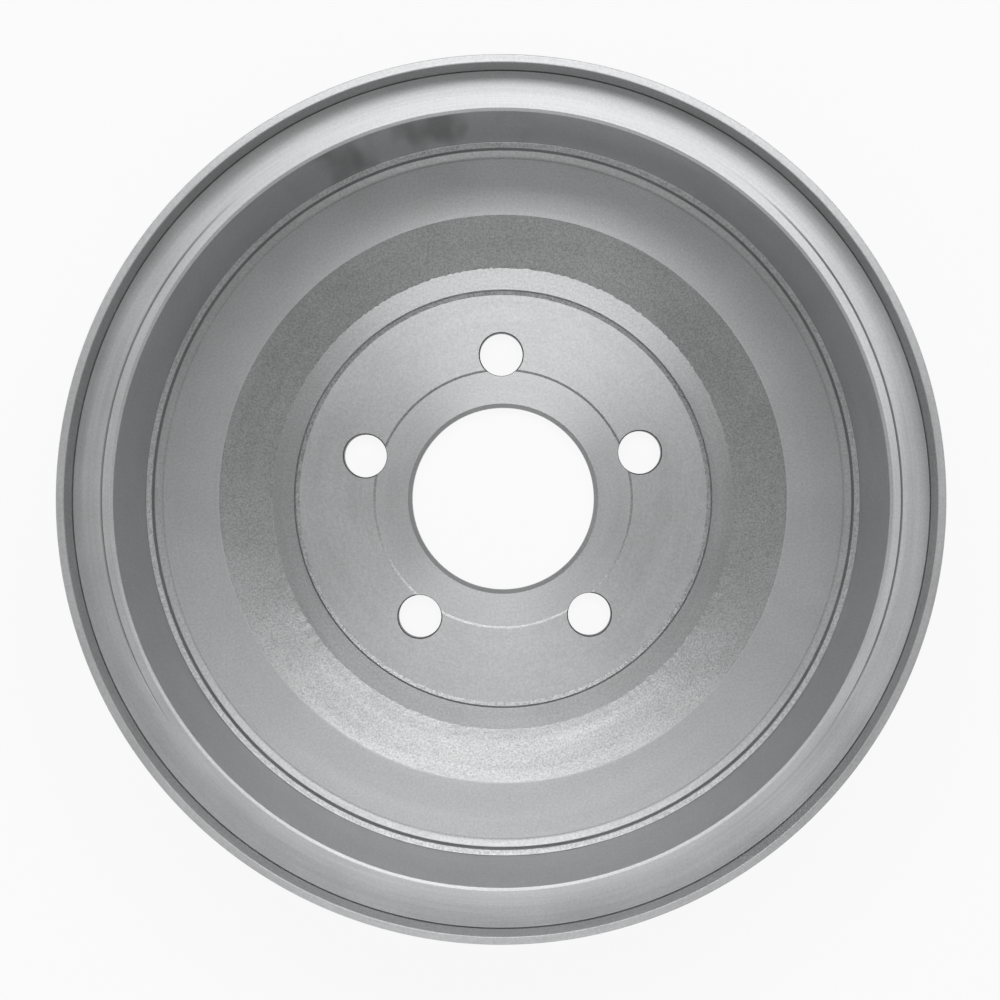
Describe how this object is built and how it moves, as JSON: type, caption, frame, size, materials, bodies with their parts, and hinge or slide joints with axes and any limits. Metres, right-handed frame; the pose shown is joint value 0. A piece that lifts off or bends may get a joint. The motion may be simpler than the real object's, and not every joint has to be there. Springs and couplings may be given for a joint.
{
  "type": "brake drum",
  "caption": "Round cast-iron brake drum, open on one side, with a machined friction surface, a lipped mouth, a central bore and a ring of lug holes.",
  "frame": {"origin": "centre of the bore on the wheel face, which is the drum's lowest plane", "axes": "+Z along the drum's axis, out of the open mouth; +Y towards the first lug hole, which stands 0.75 degrees anticlockwise of it"},
  "size_m": [0.3148, 0.3148, 0.095],
  "materials": {
    "cast_iron": "machined and as-cast grey iron, satin"
  },
  "bodies": {
    "root": {"brake_drum": "cast_iron"}
  },
  "joints": []
}
